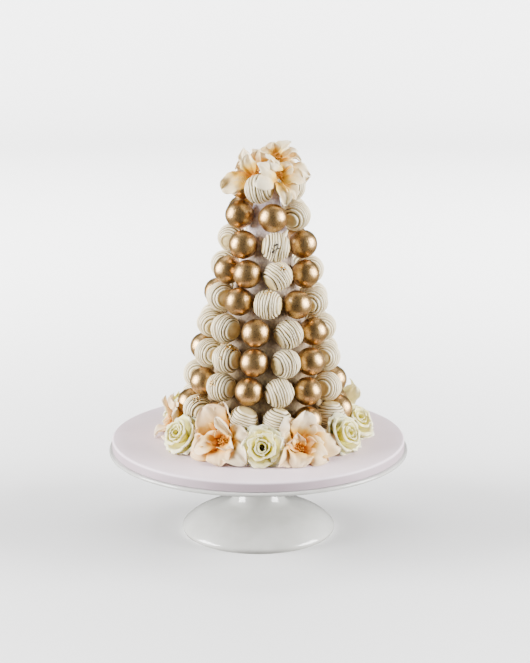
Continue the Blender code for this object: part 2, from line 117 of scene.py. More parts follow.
def ivoryChocolate():
    # Ivory compound chocolate, dipped and set: a soft waxy gloss, a little light under the skin, and drizzle lines
    # poured over it that are creamier on their ridges, with painted shade darkening the gaps between them
    inside = {"Subsurface Weight": 0.12, "Subsurface Radius": (1.0, 0.8, 0.5), "Subsurface Scale": 1.2 * mm}
    mat, place = newMaterial("ivoryCompoundChocolate", "#e9e2d2", {"Roughness": 0.42, "IOR": 1.46, **inside})
    cloudy = addNode(mat, "TexNoise", {"Vector": place, "Scale": 120, "Detail": 3})  # 8 mm
    coat = addNode(mat, "ValToRGB", {0: cloudy}, {0.3: "#cab585", 0.5: "#d3c195", 0.7: "#dccda3"})
    drizzle = addNode(mat, "Attribute", attribute_name="drizzle").outputs["Fac"]
    # painted shade: the gaps between drizzle lines, and the low flanks of each line, are darkened toward olive grey
    gapShadeStops = {0.0: "#6d6556", 0.35: "#9d947f", 0.5: "#efe9d4", 0.8: "#ffffff"}
    depth = addNode(mat, "ValToRGB", {0: drizzle}, gapShadeStops)
    colour = addNode(mat, "Mix", {0: 1.0, 6: coat, 7: depth}, **multiplied)
    ridge = addNode(mat, "MapRange", {"Value": drizzle, "From Min": 0.55, "From Max": 0.95, "To Max": 0.6})
    poured = addNode(mat, "Mix", {0: ridge, 6: colour.outputs[2], 7: toLinear("#ebe0c4")}, data_type="RGBA")
    skin = addNode(mat, "TexNoise", {"Vector": place, "Scale": 900})  # 1.1 mm
    bump = addNode(mat, "Bump", {"Height": skin, "Strength": 0.15, "Distance": 0.3 * mm})
    return feed(mat, {"Base Color": poured.outputs[2], "Normal": bump})


def foam():
    # Expanded polystyrene: matt white beads 2 to 3 mm across, pressed together; painted shade makes it darker and
    # browner toward the foot, and greyer in the seams between beads
    mat, place = newMaterial("expandedPolystyrene", "#e4dfe8", {"Roughness": 0.85})
    beads = addNode(mat, "TexVoronoi", {"Vector": place, "Scale": 380})
    height = addNode(mat, "SeparateXYZ", {0: place}).outputs[2]
    patches = addNode(mat, "TexNoise", {"Vector": place, "Scale": 26})  # 40 mm
    level = addNode(mat, "Math", {0: patches, 1: 0.16, 2: height}, operation="MULTIPLY_ADD")
    # painted shade: dust here is the share of shade, more toward the foot and in patches
    dust = addNode(mat, "MapRange", {"Value": level, "From Min": 0.17, "From Max": 0.42})
    footShadeTones = {0.0: "#8a7348", 0.45: "#a08a64", 0.8: "#d0c0ac", 1.0: "#f0e6ea"}
    footShadeTone = addNode(mat, "ValToRGB", {0: dust}, footShadeTones)
    # painted shade in the seams between the beads
    edges = addNode(mat, "ValToRGB", {0: beads}, {0.2: "#ffffff", 0.75: "#d9d2dc"})
    colour = addNode(mat, "Mix", {0: 1.0, 6: footShadeTone, 7: edges}, **multiplied)
    bump = addNode(mat, "Bump", {"Height": beads, "Strength": 0.5, "Distance": 0.6 * mm}, invert=True)
    return feed(mat, {"Base Color": colour.outputs[2], "Normal": bump})


def petalCloth(name, stops, dyeShadeHex, glow):
    # Dyed silk cloth, hot-pressed into petals: colour airbrushed from the base to the edge, faint veins and threads,
    # and light that comes through; some petals are darkened toward a tint colour, partly dye and partly painted shade
    inside = {"Subsurface Weight": glow, "Subsurface Radius": (1.0, 0.95, 0.8), "Subsurface Scale": 1.2 * mm}
    nap = {"Roughness": 0.62, "Specular IOR Level": 0.25, "Sheen Weight": 0.06, "Sheen Roughness": 0.5}
    mat, place = newMaterial(name, stops[1.0], {**nap, **inside})
    way = addNode(mat, "SeparateXYZ", {0: addNode(mat, "UVMap", uv_map="petal")})
    across, along = way.outputs[0], way.outputs[1]
    cloud = addNode(mat, "TexNoise", {"Vector": place, "Scale": 140})  # 7 mm
    drift = {"Value": cloud, "From Min": 0.3, "From Max": 0.7, "To Min": -0.07, "To Max": 0.07}
    sway = addNode(mat, "MapRange", drift)
    shifted = addNode(mat, "Math", {0: along, 1: sway}, operation="ADD")
    dye = addNode(mat, "ValToRGB", {0: shifted}, stops)
    # some petals are darkened toward the tint colour: partly dye, partly painted shade
    dyeShade = addNode(mat, "Attribute", attribute_name="petalDyeAndShade").outputs["Fac"]
    dyeShaded = {0: dyeShade, 6: dye, 7: toLinear(dyeShadeHex)}
    shaded = addNode(mat, "Mix", dyeShaded, **multiplied)
    spread = addNode(mat, "Math", {0: across, 1: 9.0}, operation="MULTIPLY")
    ribs = addNode(mat, "CombineXYZ", {0: spread, 1: along})
    veins = addNode(mat, "TexNoise", {"Vector": ribs, "Scale": 2.4})
    weave = addNode(mat, "TexNoise", {"Vector": place, "Scale": 2600, "Detail": 0})  # 0.4 mm threads
    relief = addNode(mat, "Math", {0: veins, 1: 0.25, 2: weave}, operation="MULTIPLY_ADD")
    bump = addNode(mat, "Bump", {"Height": relief, "Strength": 0.25, "Distance": 0.6 * mm})
    return feed(mat, {"Base Color": shaded.outputs[2], "Normal": bump})


def drumPaper():
    # Embossed covering paper of a cake drum: pale, with a dull sheen and a fine leather-like grain; its side is
    # painted greyer as shade
    mat, place = newMaterial("embossedDrumPaper", "#e6d9df", {"Roughness": 0.5})
    grain = addNode(mat, "TexVoronoi", {"Vector": place, "Scale": 520})  # 2 mm
    soft = addNode(mat, "TexNoise", {"Vector": place, "Scale": 22, "Detail": 3})
    paper = addNode(mat, "ValToRGB", {0: soft}, {0.3: "#e4d1da", 0.7: "#eedde6"})
    height = addNode(mat, "SeparateXYZ", {0: place}).outputs[2]
    # painted shade: the side of the drum, below its top, is greyer
    sideShadeRange = {"Value": height, "From Min": boardTop - 3 * mm, "From Max": boardTop - 1 * mm}
    side = addNode(mat, "MapRange", sideShadeRange)
    shade = addNode(mat, "ValToRGB", {0: side}, {0.0: "#c4bfc1", 1.0: "#ffffff"})
    colour = addNode(mat, "Mix", {0: 1.0, 6: paper, 7: shade}, **multiplied)
    bump = addNode(mat, "Bump", {"Height": grain, "Strength": 0.2, "Distance": 0.3 * mm})
    return feed(mat, {"Base Color": colour.outputs[2], "Normal": bump})


def whiteGlaze():
    # Glazed white stoneware: a glassy coat, with a faint wave from the firing; its colour is set grey, darker than
    # the white glaze, as painted shade
    sockets = {"Roughness": 0.16, "IOR": 1.5, "Coat Weight": 0.6, "Coat Roughness": 0.06}
    mat, place = newMaterial("whiteGlazedStoneware", "#e2e2de", sockets)
    wave = addNode(mat, "TexNoise", {"Vector": place, "Scale": 45})  # 22 mm
    # painted shade: the white glaze is coloured grey
    glaze = addNode(mat, "ValToRGB", {0: wave}, {0.3: "#b8b8b3", 0.7: "#c6c6c2"})
    bump = addNode(mat, "Bump", {"Height": wave, "Strength": 0.08, "Distance": 2 * mm})
    return feed(mat, {"Base Color": glaze, "Normal": bump})


def grainy(name, hexColour, sockets, scale, detail, stops):
    # a finish whose colour changes from grain to grain
    mat, place = newMaterial(name, hexColour, sockets)
    grains = addNode(mat, "TexNoise", {"Vector": place, "Scale": scale, "Detail": detail})
    return feed(mat, {"Base Color": addNode(mat, "ValToRGB", {0: grains}, stops)})


def stamenDye():
    # Dyed flocked stamens: saffron yellow with rusty tips
    stops = {0.32: "#8c5000", 0.5: "#c07800", 0.68: "#dca010"}
    return grainy("saffronFlock", "#e2a53a", {"Roughness": 0.8}, 700, 2, stops)


def roseHeart():
    # A dark plug painted as the shade deep in the hollow heart of a rose, where the stem wire comes through
    return grainy("paintedShadeInRoseHeart", "#2a2112", {"Roughness": 0.7}, 900, 1, {0.35: "#1c160c", 0.65: "#3a2f1a"})


def goldLeaf():
    # Edible transfer leaf: crumpled bright gold, with browned flakes
    stops = {0.35: "#6b4a1e", 0.5: "#c8963e", 0.62: "#fbe9b4"}
    return grainy("edibleGoldLeaf", "#d9b258", {"Metallic": 1.0, "Roughness": 0.28}, 480, 1, stops)


def cocoaSpeck():
    # Crumbs of burnt cocoa stuck in the coat
    return grainy("burntCocoaCrumb", "#1c1610", {"Roughness": 0.8}, 1500, 1, {0.35: "#0f0c08", 0.65: "#3a2c1c"})


def wireWrap():
    # Stem wire wound in green floral tape, whose turns show as bands
    mat, place = newMaterial("floralTape", "#8f9a5a", {"Roughness": 0.7})
    turns = addNode(mat, "TexWave", {"Vector": place, "Scale": 160, "Distortion": 1.0}, bands_direction="Z")
    tape = addNode(mat, "ValToRGB", {0: turns.outputs["Fac"]}, {0.2: "#7f8a4c", 0.8: "#a3ad6c"})
    return feed(mat, {"Base Color": tape})


finishes = {
    "gold": goldLustre(),
    "ivory": ivoryChocolate(),
    "foam": foam(),
    "magnolia": petalCloth(
        "airbrushedMagnoliaSilk",
        {0.0: "#7c4a00", 0.2: "#b87000", 0.38: "#d69200", 0.52: "#e8bb5a", 0.67: "#efd2a0", 1.0: "#f7e6ca"},
        "#e4bf8c",
        0.25,
    ),
    "topMagnolia": petalCloth(
        "airbrushedPaleMagnoliaSilk",
        {0.0: "#8e5a00", 0.18: "#c48400", 0.36: "#e2aa18", 0.5: "#f2ca6c", 0.64: "#f8deaa", 1.0: "#fdefd2"},
        "#ecd09c",
        0.35,
    ),
    "rose": petalCloth(
        "airbrushedRoseSilk",
        {0.0: "#a08a10", 0.3: "#cbbf3c", 0.52: "#e6dd72", 0.74: "#f3e9a6", 1.0: "#f8ecc4"},
        "#f2e99a",
        0.9,
    ),
    "paper": drumPaper(),
    "glaze": whiteGlaze(),
    "stamen": stamenDye(),
    "heart": roseHeart(),
    "leaf": goldLeaf(),
    "speck": cocoaSpeck(),
    "tape": wireWrap(),
}
print("materials made:", len(finishes))


def meshFrom(shape, name):
    mesh = bpy.data.meshes.new(name)
    shape.to_mesh(mesh)
    shape.free()
    return mesh


def addObject(name, data):
    item = bpy.data.objects.new(name, data)
    bpy.context.scene.collection.objects.link(item)
    return item


def addPiece(name, shape, finish, nodes=()):
    mesh = meshFrom(shape, name)
    mesh.materials.append(finishes[finish])
    mesh.shade_smooth()
    piece = addObject(name, mesh)
    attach(piece, "root")
    if nodes:
        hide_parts(*nodes)
    return piece


def curvePoint(before, start, end, after, t):
    # the point at share t of the way from start to end, on a smooth line through all four
    return tuple(
        0.5 * (2 * q + (r - p) * t + (2 * p - 5 * q + 4 * r - s) * t**2 + (3 * q - p - 3 * r + s) * t**3)
        for p, q, r, s in zip(before, start, end, after)
    )


def curveThrough(points, parts):
    # a smooth line through the points, with this many parts between two of them
    ends = [points[0], *points, points[-1]]
    spans = zip(ends, ends[1:], ends[2:], ends[3:])
    return [curvePoint(*span, i / parts) for span in spans for i in range(parts)] + [points[-1]]


def alongLine(points, share):
    # the point at this share of a smooth line through the points
    ends = [points[0], *points, points[-1]]
    place = share * (len(points) - 1)
    i = min(int(place), len(points) - 2)
    return curvePoint(*ends[i : i + 4], place - i)


def roundedCorner(centre, radius, first, last, parts):
    angles = [radians(first + (last - first) * i / parts) for i in range(parts + 1)]
    return [(centre[0] + radius * cos(a), centre[1] + radius * sin(a)) for a in angles]


def turnedShape(profile, steps):
    # (radius, height) points turned round Z into a closed shape
    shape = bmesh.new()
    line = [shape.verts.new((radius, 0, height)) for radius, height in profile]
    edges = [shape.edges.new(pair) for pair in zip(line, line[1:])]
    bmesh.ops.spin(shape, geom=line + edges, cent=(0, 0, 0), axis=(0, 0, 1), angle=tau, steps=steps, use_merge=True)
    bmesh.ops.remove_doubles(shape, verts=shape.verts[:], dist=0.01 * mm)
    bmesh.ops.recalc_face_normals(shape, faces=shape.faces[:])
    return shape


def addCone(shape, matrix, length, radii, segments):
    # a bar or cone with this (lower, upper) radius, whose middle is at the matrix
    lower, upper = radii
    bmesh.ops.create_cone(
        shape, cap_ends=True, segments=segments, radius1=lower, radius2=upper, depth=length, matrix=matrix
    )


def turnTowards(way):
    # turns Z to the way
    return way.to_track_quat("Z", "Y").to_matrix().to_4x4()


stand = {
    "plateRadius": 155.5 * mm,
    "rimHeight": 3.5 * mm,
    "lipRadius": 1.2 * mm,
    "undercut": 2.5 * mm,
    "height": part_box("cake_stand")[1].z,
    # (radius, height) in mm: underside, neck and foot, and then the recess inside the foot
    "body": [
        *((110, 86), (62, 83.7), (38, 79.7), (27.5, 73.2), (24, 61.2), (24.5, 44), (28.5, 33)),
        *((37, 28), (57, 21.5), (71, 14), (79, 6.5), (80, 3), (78.5, 0)),
    ],
    "ring": [(69.5, 0), (66, 4), (0, 4)],
    "steps": 144,
    "sharpFrom": 50,
}


def makeStand():
    radius, top, lip = stand["plateRadius"], stand["height"], stand["lipRadius"]
    below = top - stand["rimHeight"]
    rim = [(0, top)]
    rim += roundedCorner((radius - lip, top - lip), lip, 90, 0, 4)
    rim += roundedCorner((radius - lip, below + lip), lip, 0, -80, 4)
    body, ring = [[(x * mm, y * mm) for x, y in stand[part]] for part in ("body", "ring")]
    body = curveThrough([(radius - stand["undercut"], below), *body], 5)
    shape = turnedShape(rim + body + ring, stand["steps"])
    piece = addPiece("glazedStand", shape, "glaze", ["cake_stand"])
    piece.data.set_sharp_from_angle(angle=radians(stand["sharpFrom"]))


board = {
    "radius": 152.4 * mm,
    "edge": 2.2 * mm,
    "lowerEdge": 1 * mm,
    "flatRim": 12 * mm,
    "foldReach": 11 * mm,
    "pucker": 0.35 * mm,
    "puckerReach": 3 * mm,
    "puckers": 3,
    "steps": 180,
}


def makeBoard():
    low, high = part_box("cake_board")
    radius, edge, lowerEdge = board["radius"], board["edge"], board["lowerEdge"]
    profile = [(0, high.z), (radius - board["flatRim"], high.z)]
    profile += roundedCorner((radius - edge, high.z - edge), edge, 90, 0, 5)
    profile += roundedCorner((radius - lowerEdge, low.z + lowerEdge), lowerEdge, 0, -90, 3)
    profile += [(radius - board["foldReach"], low.z), (0, low.z)]
    shape = turnedShape(profile, board["steps"])
    for vert in shape.verts:  # the paper is wrapped by hand, so the edge is never quite even
        reach = hypot(vert.co.x, vert.co.y)
        if reach > radius - board["puckerReach"]:
            way = Vector((vert.co.x, vert.co.y, 0)) / reach
            vert.co += way * noise.noise(way * board["puckers"] + Vector((0, 0, 0.4))) * board["pucker"]
    addPiece("cakeDrum", shape, "paper", ["cake_board"])


makeStand()
makeBoard()
print("stand and board made")


tower = {
    "baseRadius": 69.6 * mm,
    "apex": 307.6 * mm,
    "height": 266 * mm,
    "offset": 5.6 * mm,
    "lean": 0.0157,
    "gap": 0.3 * mm,
    "edge": 1.2 * mm,
}
tower["halfAngle"] = atan(tower["baseRadius"] / tower["apex"])

# The pops from the left edge round the front to the right edge, top row first: coat, bearing and, for some
# striped ones, how far the drizzle leans right and how far it is turned right. The back is filled in evenly.
popRows = {
    "radius": 14.3 * mm,
    "spare": 1.0,  # least room between two pops at the back, in degrees
    "topHeight": 264.8 * mm,
    "drop": 28.73 * mm,
    "climb": 4 * mm,
    "climbBearing": -50,
    "rowsToFullClimb": 4,
    "lean": 14,
    "frontArc": 80,
    "rows": (
        "G-92 S-20/-8/0 S70",
        "G-65 G10 S67",
        "S-108 G-40 S14/8/-8 G75",
        "S-105 G-64 G-26 S15/-32/18 G62 S100",
        "G-100 S-67 G-33 S2/3/-14 G38 S71",
        "S-79 S-46/2/0 G-10 S24/-24/4 G58 S87",
        "G-93 S-65/-4/0 S-38/-3/0 G-10 S19/-6/16 G46 S76",
        "S-91 G-63 S-39/-2/0 G-13 S12/-14/4 G38 S65 G92",
        "G-86 S-64 G-40 S-16/-68/0 S10/-74/0 G35 S61/-84/0 G84",
    ),
}


def towerPoint(bearing, radius, height):
    angle = radians(bearing)
    axis = tower["offset"] + tower["lean"] * height
    return Vector((axis + radius * sin(angle), -radius * cos(angle), boardTop + height))


def outward(bearing, elevation=0):
    angle, rise = radians(bearing), radians(elevation)
    return Vector((sin(angle) * cos(rise), -cos(angle) * cos(rise), sin(rise)))


def facing(place, bearing, elevation=0):
    # turns X, Y and Z to the right, up and out of something that faces this bearing and elevation
    axis = outward(bearing, elevation)
    side = Vector((0, 0, 1)).cross(axis).normalized()
    turn = Matrix((side, axis.cross(side), axis)).transposed().to_4x4()
    return Matrix.Translation(place) @ turn


def coneRadius(height):
    return tower["baseRadius"] * (1 - height / tower["apex"])


def popDistance(height):
    return coneRadius(height) + (popRows["radius"] + tower["gap"]) / cos(tower["halfAngle"])


def rowHeight(row):
    return popRows["topHeight"] - popRows["drop"] * row


def rowPops(row, text):
    pops = []
    for word in text.split():
        bearing, *way = [int(value) for value in word[1:].split("/")]
        lean, turn = way or (popRows["lean"] * sin(bearing + row), 0)
        pops.append((word[0], bearing, lean, turn))
    reach = (popRows["radius"] + tower["gap"]) / popDistance(rowHeight(row))
    least = degrees(2 * asin(reach)) + popRows["spare"]
    first, last = pops[0][1] + 360, pops[-1][1]
    spaces = max(1, int((first - last) / least))
    for i in range(1, spaces):
        coat = "GS"[(i + (pops[-1][0] == "G")) % 2]
        bearing = last + i * (first - last) / spaces
        pops.append((coat, bearing, popRows["lean"] * sin(bearing + row), 0))
    return pops


def popLayout():
    found = []
    for row, text in enumerate(popRows["rows"]):
        climb = popRows["climb"] * min(row / popRows["rowsToFullClimb"], 1)
        for number, (coat, bearing, lean, turn) in enumerate(rowPops(row, text), 1):
            rise = climb * cos(radians(bearing - popRows["climbBearing"]))
            height = rowHeight(row) + rise
            centre = towerPoint(bearing, popDistance(height), height)
            found.append((row, number, coat, bearing, lean, turn, centre))
    return found


def makeCone():
    height = tower["height"]
    middle = Matrix.Translation((0, 0, (height + tower["gap"]) / 2))
    radii = (tower["baseRadius"] - tower["gap"], coneRadius(height))
    shape = bmesh.new()
    addCone(shape, middle, height - tower["gap"], radii, 96)
    caps = [face for face in shape.faces if len(face.verts) > 4]
    ringEdges = [edge for cap in caps for edge in cap.edges]
    bmesh.ops.bevel(
        shape, geom=ringEdges, offset=tower["edge"], segments=3, affect="EDGES", profile=0.5, material=-1
    )
    lean = Matrix.Translation((tower["offset"], 0, boardTop))
    lean[0][2] = tower["lean"]
    bmesh.ops.transform(shape, matrix=lean, verts=shape.verts[:])
    addPiece("foamCone", shape, "foam", ["cone_and_back_pops"])


makeCone()
pops = popLayout()
popCentres = [pop[-1] for pop in pops]
print("cone made, pops to place:", len(pops))


goldPop = {"radius": 14.55 * mm, "lumps": 0.25 * mm, "lumpSize": 9 * mm}


def popFrame(bearing, lean, turn, centre):
    along = Matrix.Rotation(radians(90), 4, "Y")
    leaning = Matrix.Rotation(radians(lean), 4, "Y")
    turning = Matrix.Rotation(radians(bearing + turn), 4, "Z")
    return Matrix.Translation(centre) @ turning @ leaning @ along


def lumpy(shape, seed, settings):
    # rolled by hand: moves each point in or out a little
    for vert in shape.verts:
        drift = noise.noise(vert.co / settings["lumpSize"] + Vector((seed, 2 * seed, 0.5)))
        vert.co += vert.co.normalized() * drift * settings["lumps"]


def goldBall(seed):
    shape = bmesh.new()
    bmesh.ops.create_icosphere(shape, subdivisions=4, radius=goldPop["radius"])
    lumpy(shape, seed, goldPop)
    return shape


striped = {
    "radius": 14.2 * mm,
    "lineWidth": 1.95 * mm,
    "lineHeight": 1.0 * mm,
    "spacing": (2.1 * mm, 3.1 * mm),
    # least and greatest share of the reach, of the line height and of the line width
    "starts": (0.85, 1),
    "heights": (0.7, 1.1),
    "widths": (0.82, 1.05),
    "reach": 0.93,  # how far towards each pole the drizzle goes, as a share of the radius
    "sway": 1.6 * mm,
    "swayLength": 4 * mm,
    "fullAt": 0.6,  # share of a line's height from which it has its full colour
    "bareMark": 0.5,  # the coat past the last line, neither ridge nor gap
    "lineCuts": (-0.999, -0.9, -0.55, 0.0, 0.55, 0.9, 0.999),  # where a line is cut across, as shares of its half
    "ballCuts": 16,
    "leastCut": 0.012,  # least angle between two cuts, and the angle about each pole without any, in radians
    "poleCap": 0.02,
    "lumps": 0.25 * mm,
    "lumpSize": 8 * mm,
    "steps": 44,
}


def drizzleLines(draw):
    # places of the drizzle lines along the pop's axis
    radius = striped["radius"]
    place = -striped["reach"] * radius * draw.uniform(*striped["starts"])
    lines = []
    while place < striped["reach"] * radius:
        height = striped["lineHeight"] * draw.uniform(*striped["heights"])
        lines.append((place, height, draw.uniform(*striped["widths"])))
        place += draw.uniform(*striped["spacing"])
    return lines


def drizzleHeight(place, lines):
    # how far the drizzle stands out of the ball at this place along the axis
    best = 0.0
    for middle, height, width in lines:
        share = abs(place - middle) / (width * striped["lineWidth"] / 2)
        if share < 1:
            best = max(best, height * sqrt(1 - share * share))
    return best


def stripedBall(seed):
    draw = random.Random(seed)
    radius = striped["radius"]
    lines = drizzleLines(draw)
    cuts = {i / striped["ballCuts"] * pi for i in range(striped["ballCuts"] + 1)}
    for middle, height, width in lines:
        half = width * striped["lineWidth"] / 2
        for share in striped["lineCuts"]:
            cuts.add(acos(max(-1, min(1, (middle + share * half) / radius))))
    profile = [(0, radius)]
    last = -1
    for angle in sorted(cuts):
        if angle - last < striped["leastCut"]:
            continue
        last = angle
        if striped["poleCap"] < angle < pi - striped["poleCap"]:
            away = radius + drizzleHeight(radius * cos(angle), lines)
            profile.append((away * sin(angle), away * cos(angle)))
    shape = turnedShape([*profile, (0, -radius)], striped["steps"])
    # the drizzle mark: 1 on a ridge, falling to 0 in the gaps between lines, where the finish paints shade
    mark = shape.verts.layers.float.new("drizzle")
    for vert in shape.verts:
        place = radius * vert.co.z / max(vert.co.length, mm)
        covered = drizzleHeight(place, lines) / (striped["fullAt"] * striped["lineHeight"])
        poured = lines[0][0] < place < lines[-1][0]
        vert[mark] = min(1.0, covered) if poured else striped["bareMark"]
    for vert in shape.verts:  # each line wanders a little as it is poured round
        share = 1 - (vert.co.z / (1.1 * radius)) ** 2
        angle = atan2(vert.co.y, vert.co.x)
        along = vert.co.z / striped["swayLength"] + seed
        wander = noise.noise((1.3 * cos(angle), 1.3 * sin(angle), along))
        vert.co.z += striped["sway"] * share * wander
    lumpy(shape, seed, striped)
    return shape


# the letter of a coat, then the first word of its pops' names, its shape, finish and slot
coats = {
    "G": ("gold", goldBall, "gold", "gold_lustre"),
    "S": ("striped", stripedBall, "ivory", "ivory_chocolate"),
}


def popNode(pop):
    # the node that a pop replaces: past the front arc they are fused on the cone
    row, number, coat, bearing = pop[:4]
    if abs(bearing) > popRows["frontArc"]:
        return "cone_and_back_pops"
    return f"{coats[coat][0]}_pop_{row + 1}_{number}"


def makePops():
    counts = {"G": 0, "S": 0}
    for pop in pops:
        row, number, coat, *place = pop
        counts[coat] += 1
        kind, ball, finish, slot = coats[coat]
        shape = ball(17 * row + number)
        bmesh.ops.transform(shape, matrix=popFrame(*place), verts=shape.verts[:])
        addPiece(f"{kind}Pop_{row + 1}_{number}", shape, finish, [popNode(pop)])
    print("pops made:", counts)


makePops()


crumbs = {
    "size": (0.55 * mm, 1.35 * mm),
    "lift": 1.05 * mm,
    # row and number of the pop, where on it as shares of its radius to the right and up for someone in front of the
    # tower who looks down on it, how many crumbs, how far they spread in mm, and what they are
    "patches": (
        (7, 3, 0.3, 0.8, 44, 7.5, "leaf"),
        (7, 3, -0.5, 0.1, 5, 3.5, "leaf"),
        (8, 3, -0.62, 0.32, 20, 4.5, "leaf"),
        (9, 2, -0.1, 0.72, 16, 6, "leaf"),
        (9, 2, -0.05, 0.7, 5, 4, "speck"),
        (3, 3, 0, -0.04, 9, 4.2, "speck"),
        (4, 4, 0.33, 0.45, 2, 0.8, "speck"),
        (4, 4, 0.45, 0.5, 6, 4, "leaf"),
        (5, 4, 0.03, 0.76, 14, 4, "leaf"),
        (6, 1, 0.3, -0.1, 2, 0.6, "speck"),
    ),
    "lookDown": 14,
    # a crumb's least and greatest width and depth, and its thickness, as shares of its size
    "wide": (0.8, 1.6),
    "deep": (0.6, 1.1),
    "thick": 0.5,
    "seed": 5,
}


def popAt(row, number):
    return next(pop for pop in pops if pop[:2] == (row - 1, number))


def seenDirection(right, up):
    rise = radians(crumbs["lookDown"])
    toward = sqrt(max(0.0, 1 - right**2 - up**2))
    return Vector((right, up * sin(rise) - toward * cos(rise), up * cos(rise) + toward * sin(rise))).normalized()


def makeCrumbs():
    draw = random.Random(crumbs["seed"])
    reach = striped["radius"] + crumbs["lift"]
    for i, (row, number, right, up, count, spread, finish) in enumerate(crumbs["patches"]):
        pop = popAt(row, number)
        shape = bmesh.new()
        middle = seenDirection(right, up) * reach
        for _ in range(count):
            shift = Vector([draw.gauss(0, spread * mm / 2) for _ in range(3)])
            way = (middle + shift).normalized()
            size = draw.uniform(*crumbs["size"])
            flat = Matrix.Diagonal((draw.uniform(*crumbs["wide"]), draw.uniform(*crumbs["deep"]), crumbs["thick"], 1))
            turn = turnTowards(way) @ Matrix.Rotation(draw.uniform(0, tau), 4, "Z")
            place = Matrix.Translation(pop[-1] + way * reach)
            bmesh.ops.create_icosphere(shape, subdivisions=1, radius=size, matrix=place @ turn @ flat)
        name = f"{finish}Crumbs_{i + 1}"
        addPiece(name, shape, finish, [popNode(pop)])


drip = {
    "pop": (3, 3),
    "way": (0.56, 0.83),  # to the right and up, as for the crumbs
    "radii": (4.2 * mm, 0.3 * mm),
    "from": 11.5 * mm,
    "to": 21 * mm,
    "lumps": 0.5 * mm,
    "lumpSize": 3 * mm,
    "mark": 0.9,
}


def makeDrip():
    # a peak that the coat left where the pop was lifted out of it
    pop = popAt(*drip["pop"])
    way = seenDirection(*drip["way"])
    length = drip["to"] - drip["from"]
    place = Matrix.Translation(pop[-1] + way * (drip["from"] + length / 2))
    shape = bmesh.new()
    addCone(shape, place @ turnTowards(way), length, drip["radii"], 16)
    bmesh.ops.subdivide_edges(shape, edges=shape.edges[:], cuts=2, use_grid_fill=True)
    mark = shape.verts.layers.float.new("drizzle")
    for vert in shape.verts:
        vert[mark] = drip["mark"]
        vert.co += noise.noise_vector(vert.co / drip["lumpSize"]) * drip["lumps"]
    addPiece("dripPeak", shape, "ivory", [popNode(pop)])


makeCrumbs()
makeDrip()
print("crumbs made, patches:", len(crumbs["patches"]))


cut = {
    "segments": (16, 18),
    "start": 0.02,  # the cloth starts a little past the foot of the petal and covers this share of the way to the tip
    "covers": 0.97,
    "clothThickness": 0.3 * mm,
    "clearance": 0.6 * mm,
    "popsNear": 55 * mm,
    "widestAt": 0.62,
    "ruffle": 5.0 * mm,
    "ruffledFrom": 20,  # width in mm from which a petal has its full ruffle
    "ripples": 0.8,
    "frills": 0.6,
    "frillTurns": 10.5,
    "crease": 1.3 * mm,
    "creaseWidth": 0.14,
    "edgeWander": 0.22,
    "edgeNicks": 0.1,
    "twist": 0.22,
    "rollFrom": 0.66,
}


def keptClear(point, pops):
    # off the board, and draped over any pop it would run into
    point.z = max(point.z, boardTop + cut["clearance"])
    clear = striped["radius"] + striped["lineHeight"] + cut["clearance"]
    for centre in pops:
        away = point - centre
        if away.length < clear:
            point = centre + away.normalized() * clear
    return point


def petalOutline(reach, seed):
    # half the petal's width as a share of its widest: narrow foot, and a tip rounder or more pointed by the seed
    bend = log(0.5) / log(cut["widestAt"])
    sharpness = 0.45 + 0.35 * sin(1.7 * seed) ** 2
    return max(0.1 * (1 - reach), sin(pi * min(1.0, reach) ** bend) ** sharpness)


def addSheet(shape, layers, segments, near, fade, dyeShade, bend):
    # one petal, bent from a grid: bend gives the point at a place across and along it, and the place in the dye
    columns, rows = segments
    uvLayer, dyeShadeLayer = layers
    for vert in bmesh.ops.create_grid(shape, x_segments=columns, y_segments=rows, size=1)["verts"]:
        across = vert.co.x
        point, reach = bend(across, (vert.co.y + 1) / 2)
        vert.co = keptClear(point, near)
        vert[dyeShadeLayer] = dyeShade
        for loop in vert.link_loops:
            loop[uvLayer].uv = ((across + 1) / 2, fade + (1 - fade) * reach)


def newCloth():
    shape = bmesh.new()
    return shape, (shape.loops.layers.uv.new("petal"), shape.verts.layers.float.new("petalDyeAndShade"))


def addCloth(name, shape, finish, nodes):
    cloth = addPiece(name, shape, finish, nodes).modifiers.new("cloth", "SOLIDIFY")
    cloth.thickness = cut["clothThickness"]
    cloth.offset = 0


